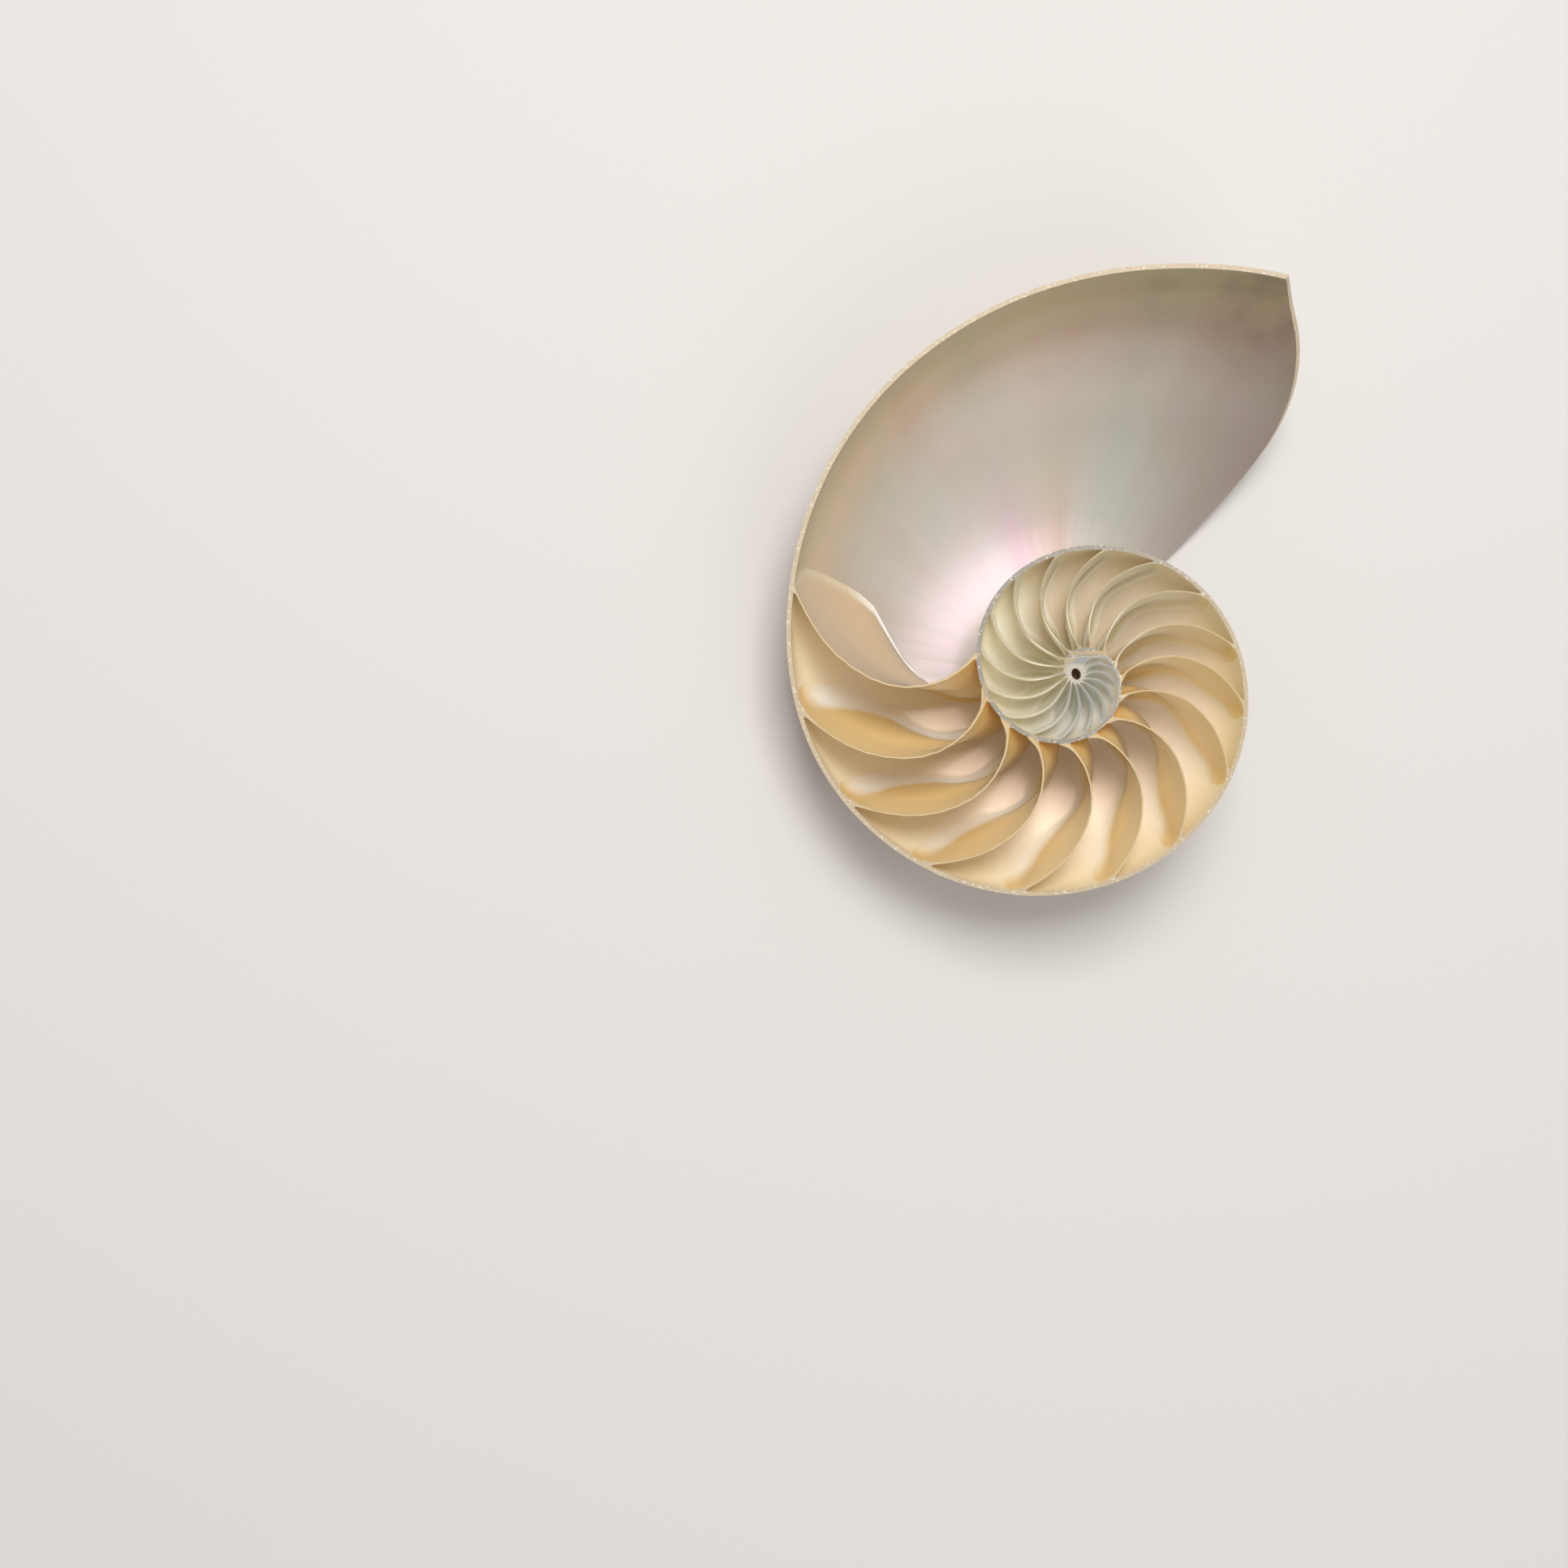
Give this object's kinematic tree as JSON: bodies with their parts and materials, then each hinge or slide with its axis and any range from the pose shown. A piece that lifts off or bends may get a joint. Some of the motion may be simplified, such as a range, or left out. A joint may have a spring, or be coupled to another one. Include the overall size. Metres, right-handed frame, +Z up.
{
  "type": "nautilus shell half",
  "caption": "Half of a sawn nautilus shell lying on its round flank, with an open living chamber, bowed septa between closed chambers and a pearly inside.",
  "frame": {"origin": "centre of the footprint, on the surface that the round flank lies on", "axes": "+Z up, the way the sawn face looks apart from the lean of about ten degrees at rest; +Y towards the lip's tip, along the half's length; +X towards the side that the living chamber opens to"},
  "size_m": [0.1222, 0.14, 0.0412],
  "materials": {
    "nacre": "satin"
  },
  "bodies": {
    "root": {"nautilus_shell_half": "nacre"}
  },
  "joints": []
}
